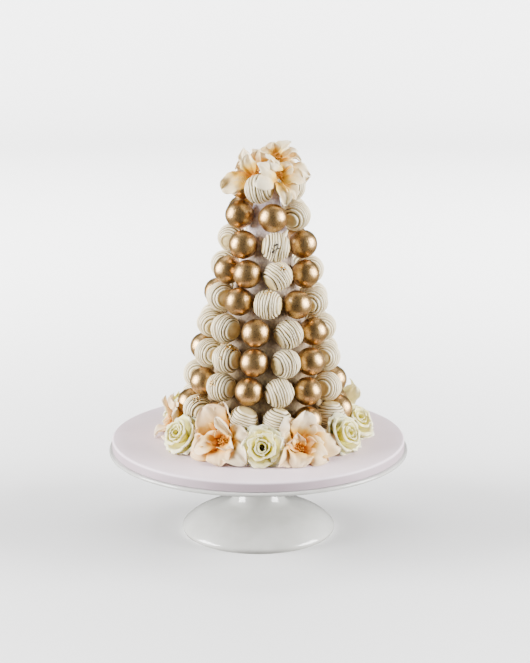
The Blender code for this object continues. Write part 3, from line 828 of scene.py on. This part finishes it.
def addPetal(shape, layers, matrix, axis, petal, seed):
    # petal: foot, tip, width, then how far its middle bows toward the axis, its hollow across, how far its tip
    # rolls back, where the dye starts (0 at the deep base, 1 at the pale edge) and how strongly it is darkened
    # toward the tint colour, partly dye and partly painted shade
    foot, tip, width, bow, hollow, roll, fade, dyeShade = petal
    foot, tip = Vector(foot) * mm, Vector(tip) * mm
    way = (tip - foot).normalized()
    face = (axis - axis.dot(way) * way).normalized()
    middle = (foot + tip) / 2
    near = [c for c in popCentres if (matrix.inverted() @ c - middle).length < cut["popsNear"]]

    def bend(across, along):
        reach = cut["start"] + cut["covers"] * along
        edge = copysign(1, across)
        wander = cut["edgeWander"] * noise.noise((5 * reach, edge, seed))
        wander += cut["edgeNicks"] * noise.noise((17 * reach, edge, seed))
        half = width / 2 * mm * petalOutline(reach, seed) * (1 + wander)
        rolled = max(0.0, (reach - cut["rollFrom"]) / (1 - cut["rollFrom"]))
        twist = cut["twist"] * sin(2.1 * seed) * reach
        side = way.cross(face) * cos(twist) + face * sin(twist)
        ripple = noise.noise((3.2 * reach + seed, 1.4 * across, 0.7 * seed)) * reach
        frill = across**2 * reach * sin(cut["frillTurns"] * reach + 2.3 * seed + across)
        ruffle = cut["ripples"] * ripple + cut["frills"] * frill
        lift = bow * mm * sin(pi * reach) - roll * mm * rolled**2 + hollow * half * across**2
        lift += cut["ruffle"] * ruffle * min(1.0, width / cut["ruffledFrom"])
        for fold in (0.55 * sin(1.9 * seed), -0.6 * cos(1.1 * seed)):
            lift -= cut["crease"] * reach * exp(-(((across - fold) / cut["creaseWidth"]) ** 2))
        return matrix @ (foot + (tip - foot) * reach + side * half * across + face * lift), reach

    addSheet(shape, layers, cut["segments"], near, fade, dyeShade, bend)


def makeMagnolia(name, matrix, axis, petals, finish, nodes, seed):
    shape, layers = newCloth()
    for i, petal in enumerate(petals):
        addPetal(shape, layers, matrix, axis, petal, seed + 1.37 * i)
    addCloth(name, shape, finish, nodes)


magnolia = {
    "height": 11 * mm,
    "axis": (0.05, 0.5, 0.86),
    "paleOnes": (2,),
    "paleFade": 0.5,
    "paleTips": ((5, 0, 9), (2, 2, 8), (3, 2, 6)),  # how much farther its three upper petals reach
    "heartSize": 0.9,
    "heart": {"leftOpen": (7.5, 8.5, 5), "rightOpen": (-5, 1, 5), "sideOpen": (0, 4, 7)},
    # petals as addPetal takes them, with foot and tip right, up and out in mm
    "leftOpen": (
        ((2, 8, -2), (-19, 41, 6), 35, 4, 0.2, 3, 0, 0.5),
        ((2, 10, -5), (-3, 46, -4), 19, 2, 0.45, 0, 0.2, 0.2),
        ((3, 8, 3), (-27, 14, 12), 27, 4, 0.3, 4, -0.12, 0.4),
        ((16, 14, 7), (-4, 33, 9), 10, 3, 1.3, 0, 0.5, 0),
        ((8, 8, 2), (31, 20, 8), 24, 3, 0.2, 4, 0.1, 0.1),
        ((8, 5, 4), (35, -5, 22), 26, 5, 0.2, 3, 0.15, 0.05),
        ((5, 3, 5), (11, -9, 31), 30, 6, -0.1, 3, -0.02, 0.5),
        ((2, 3, 3), (-28, -7, 20), 28, 5, 0.15, 3, -0.02, 0.55),
        ((3, 5, 5), (-20, 1, 24), 20, 7, 0.3, 5, -0.08, 0.4),
        ((7, 6, 4), (21, 5, 19), 17, 4, 0.5, 3, -0.1, 0.3),
        ((5, 9, 3), (5, 25, 9), 15, 3, 0.6, 3, -0.14, 0.3),
        ((2, 7, 5), (-12, 14, 15), 15, 3, 0.5, 3, -0.24, 0.6),
    ),
    "rightOpen": (
        ((-2, 4, -2), (9, 37, 2), 29, 4, 0.25, 2, 0.1, 0.1),
        ((-5, 4, -2), (-17, 32, -1), 22, 3, 0.3, 2, 0.2, 0.06),
        ((-6, 1, 2), (-27, 12, 6), 22, 4, 0.2, 3, 0.1, 0.15),
        ((-2, 0, 3), (43, 1, 11), 28, 6, 0.25, 3, 0, 0.35),
        ((-2, 3, 2), (28, 16, 6), 23, 4, 0.3, 3, -0.06, 0.3),
        ((-6, -1, 5), (-31, -6, 26), 21, 5, 0.3, 3, 0.1, 0.4),
        ((-6, -3, 5), (-12, -8, 31), 26, 6, 0.1, 4, 0.05, 0.4),
        ((-3, -3, 4), (21, -9, 27), 27, 6, 0.15, 4, 0, 0.3),
        ((-5, -1, 4), (-22, -4, 20), 20, 4, 0.2, 3, -0.16, 0.5),
        ((-4, 1, 4), (-17, 10, 14), 15, 3, 0.6, 3, -0.24, 0.6),
        ((-3, 1, 5), (14, 6, 16), 18, 3, 0.3, 3, -0.3, 0.9),
        ((-5, 2, 4), (-4, 17, 10), 15, 3, 0.5, 3, -0.18, 0.4),
    ),
    "sideOpen": (
        ((0, 5, -2), (2, 30, 22), 24, 3, 0.3, 3, 0.25, 0.2),
        ((-4, 5, -2), (-16, 29, 14), 23, 3, 0.3, 3, 0.25, 0.1),
        ((4, 5, -2), (20, 26, 8), 24, 3, 0.25, 3, 0.2, 0.2),
        ((0, -3, 4), (8, -6, 31), 18, 4, 0.2, 3, 0.3, 0.05),
        ((-3, -3, 3), (-20, -7, 22), 24, 4, 0.2, 3, 0.3, 0.15),
        ((4, -2, 3), (27, -6, 15), 22, 4, 0.2, 3, 0.3, 0.15),
        ((0, 1, 5), (-8, 14, 15), 14, 3, 0.6, 3, -0.08, 0.6),
        ((1, 1, 6), (9, 13, 14), 13, 3, 0.6, 3, -0.08, 0.4),
    ),
}

stamens = {
    "count": 44,
    "length": 9 * mm,
    "spread": 62,
    "threadRadius": 0.4 * mm,
    "tipRadius": 1.0 * mm,
    "heartRadius": 3.2 * mm,
    "turn": 2.4,  # from one thread to the next, in radians
    "lengths": (0.75, 1.1),  # least and greatest share of the length, and of a tip's radius
    "tips": (0.8, 1.2),
    "tipStretch": 1.5,
}


def addStamens(shape, matrix, centre, axis, size, seed):
    draw = random.Random(seed)
    heart = matrix @ Matrix.Translation(Vector(centre) * mm) @ turnTowards(axis)
    for i in range(stamens["count"]):
        spread = radians(stamens["spread"] * sqrt((i + 0.5) / stamens["count"]))
        length = stamens["length"] * size * draw.uniform(*stamens["lengths"])
        lean = heart @ Matrix.Rotation(stamens["turn"] * i, 4, "Z") @ Matrix.Rotation(spread, 4, "X")
        radii = (stamens["threadRadius"], stamens["threadRadius"])
        addCone(shape, lean @ Matrix.Translation((0, 0, length / 2)), length, radii, 6)
        tip = lean @ Matrix.Translation((0, 0, length)) @ Matrix.Diagonal((1, 1, stamens["tipStretch"], 1))
        radius = stamens["tipRadius"] * draw.uniform(*stamens["tips"])
        bmesh.ops.create_icosphere(shape, subdivisions=1, radius=radius, matrix=tip)
    bmesh.ops.create_icosphere(shape, subdivisions=2, radius=stamens["heartRadius"] * size, matrix=heart)


def makeStamens(name, matrix, hearts, nodes, seed):
    shape = bmesh.new()
    for i, (centre, axis, size) in enumerate(hearts):
        addStamens(shape, matrix, centre, Vector(axis).normalized(), size, seed + i)
    addPiece(name, shape, "stamen", nodes)


rose = {
    "radius": 18.8 * mm,
    "height": 19 * mm,
    "segments": (12, 12),
    "tuck": 0.05,
    "flare": 0.07,
    "frill": 0.2,
    "ripple": 0.07,
    "ragged": 0.1,
    "corners": 0.2,  # how far they are cut back
    "foot": 0.85,  # width of a petal's foot, as a share of its widest
    "least": 0.01,  # least distance from the middle, as a share of the flower's radius
    "popsNear": 45 * mm,
    "turn": 47,  # from one rose to the next, in degrees
    "uneven": 9,
    # inner rings and some petals are darkened toward the tint colour: partly dye, partly painted shade
    "ringDyeAndShade": 0.08,
    "petalDyeAndShade": 0.12,
    # rings from the outside in: petals, half width in degrees, first turn, fade, and the line up the middle of a
    # petal as (radius, height) shares of the flower's radius
    "rings": (
        (5, 44, 0, 0.6, ((0.16, -0.8), (0.62, -0.68), (0.94, -0.44), (1.08, -0.28), (1.17, -0.25), (1.22, -0.36))),
        (4, 52, 30, 0.5, ((0.14, -0.74), (0.54, -0.52), (0.8, -0.18), (0.9, -0.02), (0.98, 0.02), (1.04, -0.08))),
        (4, 56, 5, 0.1, ((0.12, -0.66), (0.38, -0.34), (0.51, 0.02), (0.57, 0.24), (0.63, 0.32), (0.72, 0.26))),
        (3, 72, 50, 0, ((0.08, -0.6), (0.2, -0.3), (0.3, 0.02), (0.34, 0.22), (0.38, 0.32), (0.42, 0.31))),
        (2, 112, 20, 0, ((0.05, -0.5), (0.1, -0.2), (0.17, 0.02), (0.2, 0.18), (0.22, 0.27), (0.24, 0.27))),
    ),
    "heartRadius": 0.19,
    "heartHeight": 0.02,
    "heartFoot": 0.6,  # lower radius and depth of the heart, as shares of its radius
    "heartDepth": 0.3,
}


def addRosePetal(shape, layers, matrix, middle, halfWidth, line, fade, dyeShade, seed):
    near = [centre for centre in popCentres if (matrix.translation - centre).length < rose["popsNear"]]

    def bend(across, along):
        ragged = 1 + rose["ragged"] * noise.noise((2.5 * across, seed, 0.5))
        reach = min(1.0, along * (1 - rose["corners"] * abs(across) ** 3) * ragged)
        radius, height = alongLine(line, reach)
        ripple = noise.noise((across * 1.8 + seed, along * 1.6, 0.3 * seed)) * rose["ripple"] * along
        ripple += noise.noise((across * 3.6 + seed, along * 2.4, seed)) * rose["frill"] * reach**3 * radius
        radius += rose["tuck"] * across * along + rose["flare"] * (0.5 - across**2) * along**3 + ripple
        angle = radians(middle + halfWidth * across * (rose["foot"] + (1 - rose["foot"]) * along))
        radius = max(rose["least"], radius) * rose["radius"]
        height = (height + 0.7 * ripple) * rose["radius"]
        return matrix @ Vector((radius * cos(angle), radius * sin(angle), height)), along

    addSheet(shape, layers, rose["segments"], near, fade, dyeShade, bend)


def makeRose(name, matrix, seed, nodes):
    shape, layers = newCloth()
    for ring, (count, halfWidth, first, fade, line) in enumerate(rose["rings"]):
        for i in range(count):
            middle = first + rose["turn"] * seed + 360 * i / count + rose["uneven"] * sin(2.3 * i + seed)
            dyeShade = rose["ringDyeAndShade"] * ring + rose["petalDyeAndShade"] * sin(1.7 * i + seed) ** 2
            addRosePetal(shape, layers, matrix, middle, halfWidth, line, fade, dyeShade, seed + 2.3 * i + 5 * ring)
    addCloth(name, shape, "rose", nodes)
    # a dark plug in the heart of the rose: painted shade
    heart = bmesh.new()
    radius, height = rose["heartRadius"] * rose["radius"], rose["heartHeight"] * rose["radius"]
    depth = rose["heartDepth"] * radius
    lower = matrix @ Matrix.Translation((0, 0, height - depth / 2))
    addCone(heart, lower, depth, (rose["heartFoot"] * radius, radius), 24)
    addPiece(name + "_heart", heart, "heart", nodes)


# kind, bearing, distance from the tower's axis in mm, then the pattern a magnolia's petals follow, or how far a rose
# turns right of its bearing and how far up it looks
wreath = (
    ("rose", -1, 102, (0, 24)),
    ("magnolia", 24, 84, "rightOpen"),
    ("rose", 57, 101, (-4, 30)),
    ("rose", 88, 98, (-34, 46)),
    ("magnolia", 119, 84, "sideOpen"),
    ("rose", 150, 106, (0, 32)),
    ("magnolia", 180, 86, "leftOpen"),
    ("rose", 210, 106, (5, 28)),
    ("rose", 240, 106, (-5, 40)),
    ("magnolia", 270, 84, "sideOpen"),
    ("rose", 303, 103, (8, 34)),
    ("magnolia", 331, 84, "leftOpen"),
)


def paler(petals):
    # a fuller flower with less dye at its throat
    longer = zip_longest(petals, magnolia["paleTips"], fillvalue=(0, 0, 0))
    return [
        (foot, Vector(tip) + Vector(more), *form, fade + magnolia["paleFade"], dyeShade)
        for (foot, tip, *form, fade, dyeShade), more in longer
    ]


def makeWreath():
    counts = {"rose": 0, "magnolia": 0}
    for kind, bearing, distance, manner in wreath:
        counts[kind] += 1
        node = f"{kind}_{counts[kind]}"
        name = f"{kind}Flower_{counts[kind]}"
        settings = rose if kind == "rose" else magnolia
        place = towerPoint(bearing, distance * mm, settings["height"])
        if kind == "rose":
            turn, elevation = manner
            makeRose(name, facing(place, bearing + turn, elevation), counts[kind], [node])
            continue
        matrix, axis = facing(place, bearing), Vector(magnolia["axis"]).normalized()
        seed = 3 * counts[kind]
        petals, dye = magnolia[manner], "magnolia"
        if counts[kind] in magnolia["paleOnes"]:
            petals, dye = paler(petals), "rose"
        makeMagnolia(name, matrix, axis, petals, dye, [node], seed)
        heart = (magnolia["heart"][manner], axis, magnolia["heartSize"])
        makeStamens(name + "_stamens", matrix, [heart], [node], seed)
    print("wreath made:", counts)


# Three magnolias and a fourth behind them, which share their room: petals as above, but placed from the middle of
# the tower's foot
spray = {
    "petals": (
        ((-10, 277, 8), (-43, 263, 14), 25, 1, 0.1, 0, -0.02, 0.45),
        ((-8, 275, 10), (-18, 298, 11), 18, 3, 0.25, 2, -0.1, 0.15),
        ((-14, 279, 3), (-21, 303, 0), 13, 1, 0.4, 1, 0.5, 0.1),
        ((-6, 278, 5), (-7, 301, 6), 13, 1, 0.3, 1, 0.12, 0.55),
        ((-10, 273, 8), (-33, 260, 12), 13, 2, 0.2, 2, 0.12, 0.4),
        ((14, 270, 19), (-4, 292, 24), 18, 3, -0.2, 3, 0.28, 0.05),
        ((13, 274, 20), (-6, 270, 31), 14, 3, -0.2, 2, 0.2, 0.1),
        ((12, 272, 22), (23, 251, 35), 14, 2, 0.5, 1, 0.2, 0.1),
        ((17, 274, 18), (33, 255, 25), 14, 2, 0.4, 2, 0.1, 0.3),
        ((11, 277, 14), (40, 273, 13), 22, 3, 0.3, 2, -0.2, 0.4),
        ((19, 278, 7), (48, 276, 4), 22, 3, 0.2, 3, 0.35, 0.05),
        ((13, 278, 13), (29, 287, 11), 15, 2, 0.4, 2, -0.05, 0.3),
        ((20, 282, 14), (4, 292, 18), 13, 2, -0.2, 2, 0.4, 0.05),
        ((11, 290, 5), (-3, 303, 5), 14, 2, 0.3, 2, 0, 0.5),
        ((11, 292, 1), (10, 308, -2), 10, 1, 0.4, 0, -0.15, 0.4),
        ((12, 292, 2), (27, 310, 0), 16, 2, 0.3, 3, 0.15, 0.05),
        ((14, 288, 6), (38, 293, 4), 19, 3, 0.25, 3, 0.05, 0.3),
        ((14, 288, 12), (4, 300, 15), 13, 1, -0.3, 2, 0.5, 0),
        ((14, 290, 3), (33, 302, 1), 14, 2, 0.2, 2, 0.3, 0.05),
        ((-8, 276, 0), (-27, 279, -18), 24, 4, 0.2, 3, 0, 0.4),
        ((-4, 278, -3), (-8, 297, -22), 24, 4, 0.2, 3, 0.1, 0.1),
        ((4, 277, -3), (10, 273, -34), 24, 5, 0.2, 3, 0, 0.3),
        ((10, 279, -3), (32, 284, -22), 24, 4, 0.2, 3, 0.15, 0.5),
        ((8, 288, -4), (10, 303, -20), 20, 4, 0.2, 3, 0.2, 0.05),
        ((-4, 276, -3), (-14, 264, -30), 20, 4, 0.2, 3, 0.1, 0.2),
        ((-5, 278, 2), (-24, 290, -6), 20, 3, 0.25, 3, 0, 0.3),
        ((6, 279, 1), (25, 288, -8), 22, 3, 0.25, 3, 0, 0.3),
        ((1, 281, 0), (4, 299, -9), 19, 3, 0.3, 2, 0, 0.25),
        ((5, 276, 0), (32, 272, -8), 20, 3, 0.2, 2, 0.1, 0.1),
    ),
    "axes": ((-0.5, 0.5, 0.7), (0.45, 0.5, 0.75), (0.1, 0.9, 0.3), (0, 0.6, -0.8), (0.05, 1, 0.15)),
    "petalsEach": (5, 8, 6, 6, 4),  # how many petals in turn face each axis
    "hearts": (
        ((-7, 276, 9), (-0.3, 0.5, 0.8), 0.5),
        ((15, 276, 13), (0.5, 0.5, 0.7), 0.6),
        ((13, 293, 4), (0.1, 0.9, 0.4), 0.5),
        ((0, 278, -4), (0, 0.7, -0.7), 0.8),
    ),
    "neck": 4 * mm,
    "stemRadius": 0.9 * mm,
    "foot": (0, 1 * mm),
    "footRadius": 3 * mm,
    "footHeight": 6 * mm,
    "stemsMeet": 0.6,  # share of the foot's height at which the stems meet
}


def addStem(shape, start, end, radius):
    way = end - start
    middle = Matrix.Translation(start) @ turnTowards(way) @ Matrix.Translation((0, 0, way.length / 2))
    addCone(shape, middle, way.length, (radius, radius), 12)


def makeTopSpray():
    nodes = ["top_magnolia_spray"]
    matrix = facing(towerPoint(0, 0, 0), 0)
    left = iter(spray["petals"])
    for group, (axis, count) in enumerate(zip(spray["axes"], spray["petalsEach"])):
        petals = islice(left, count)
        name, axis = f"topMagnolia_{group + 1}", Vector(axis).normalized()
        makeMagnolia(name, matrix, axis, petals, "topMagnolia", nodes, 31 + 7 * group)
    makeStamens("topStamens", matrix, spray["hearts"], nodes, 60)
    stems = bmesh.new()
    foot = towerPoint(0, 0, tower["height"] + tower["gap"]) + Vector((*spray["foot"], 0))
    rise = Vector((0, 0, spray["footHeight"]))
    addStem(stems, foot, foot + rise, spray["footRadius"])
    for centre, axis, _ in spray["hearts"]:
        under = Vector(centre) * mm - Vector(axis).normalized() * spray["neck"]
        addStem(stems, matrix @ under, foot + rise * spray["stemsMeet"], spray["stemRadius"])
    addPiece("sprayStems", stems, "tape", nodes)
    print("top spray made")


makeWreath()
makeTopSpray()


studio = {
    "wallRadius": 3.9,
    "wallHeight": 4.5,
    "bend": 1.2,  # where the paper sweeps up from floor to wall, all round
    "steps": 96,
    "floorColour": "#ececec",
    "worldStrength": 0.14,
    "overhead": 0.25,
    "bounceColour": "#ffe6be",  # off the paper below, strongest at the sides, under the softboxes
    "bounceStrength": 0.58,
    # place, point it faces, width, height, watts: two tall softboxes at the sides, outside of the paper, and five
    # lamps that light it from inside
    "lights": (
        ((-8.7, -1.32, 2.38), (0, 0, 0.22), 5.4, 6.7, 4400),
        ((8.7, -1.32, 2.38), (0, 0, 0.22), 5.4, 6.7, 3900),
        ((0, 1, 1.9), (0, 3.3, 0.7), 3.4, 1, 290),
        ((0, 0.9, 2.6), (0, 1.2, 0), 2.6, 1, 34),
        ((1, 0, 1.9), (3.3, 0, 0.7), 3.4, 1, 230),
        ((-1, 0, 1.9), (-3.3, 0, 0.7), 3.4, 1, 230),
        ((0, -1, 1.9), (0, -3.3, 0.7), 3.4, 1, 230),
    ),
}


def makeStudio():
    bend, wall = studio["bend"], studio["wallRadius"]
    profile = [(0, 0), *roundedCorner((wall - bend, bend), bend, -90, 0, 12), (wall, studio["wallHeight"])]
    mesh = meshFrom(turnedShape(profile, studio["steps"]), "studioPaper")
    mesh.materials.append(newMaterial("matStudioPaper", studio["floorColour"], {"Roughness": 0.9})[0])
    mesh.shade_smooth()
    floor = addObject("studioPaper", mesh)
    # the softboxes shine through the paper, and the pops show the world in its place
    floor.visible_glossy = floor.visible_diffuse = floor.visible_shadow = False

    world = bpy.data.worlds.new("studioWorld")
    world.use_nodes = True
    across, _, up = addNode(world, "SeparateXYZ", {0: addNode(world, "TexCoord")}).outputs
    below = addNode(world, "MapRange", {"Value": up, "From Min": 0.05, "From Max": -0.25})
    sideways = addNode(world, "Math", {0: across}, operation="ABSOLUTE")
    beside = addNode(world, "MapRange", {"Value": sideways, "From Min": 0.2, "From Max": 0.9, "To Min": 0.15})
    bounce = addNode(world, "Math", {0: below, 1: beside}, operation="MULTIPLY")
    sky = {"To Min": studio["worldStrength"], "To Max": studio["overhead"]}
    above = addNode(world, "MapRange", {"Value": up, "From Min": 0.45, "From Max": 0.85, **sky})
    glow = {0: bounce, 1: studio["bounceStrength"], 2: above}
    level = addNode(world, "Math", glow, operation="MULTIPLY_ADD")
    warmth = {0: bounce, 6: toLinear("#ffffff"), 7: toLinear(studio["bounceColour"])}
    colour = addNode(world, "Mix", warmth, data_type="RGBA").outputs[2]
    connect(world, world.node_tree.nodes["Background"], {"Color": colour, "Strength": level})
    bpy.context.scene.world = world

    for i, (place, aim, width, height, watts) in enumerate(studio["lights"]):
        data = bpy.data.lights.new(f"softbox_{i + 1}", "AREA")
        data.shape, data.size, data.size_y, data.energy = "RECTANGLE", width, height, watts
        lamp = addObject(f"softbox_{i + 1}", data)
        lamp.location = place
        lamp.rotation_euler = (Vector(aim) - Vector(place)).to_track_quat("-Z", "Y").to_euler()


camera = {"place": (0.00694, -1.909, 0.6985), "lookDown": 14.24, "lens": 103.73, "sensor": 36}


def makeCamera():
    data = bpy.data.cameras.new("camera")
    data.lens = camera["lens"]
    data.sensor_width = camera["sensor"]
    eye = addObject("camera", data)
    eye.location = camera["place"]
    eye.rotation_euler = (radians(90 - camera["lookDown"]), 0, 0)
    bpy.context.scene.camera = eye


makeStudio()
makeCamera()
print("studio made")
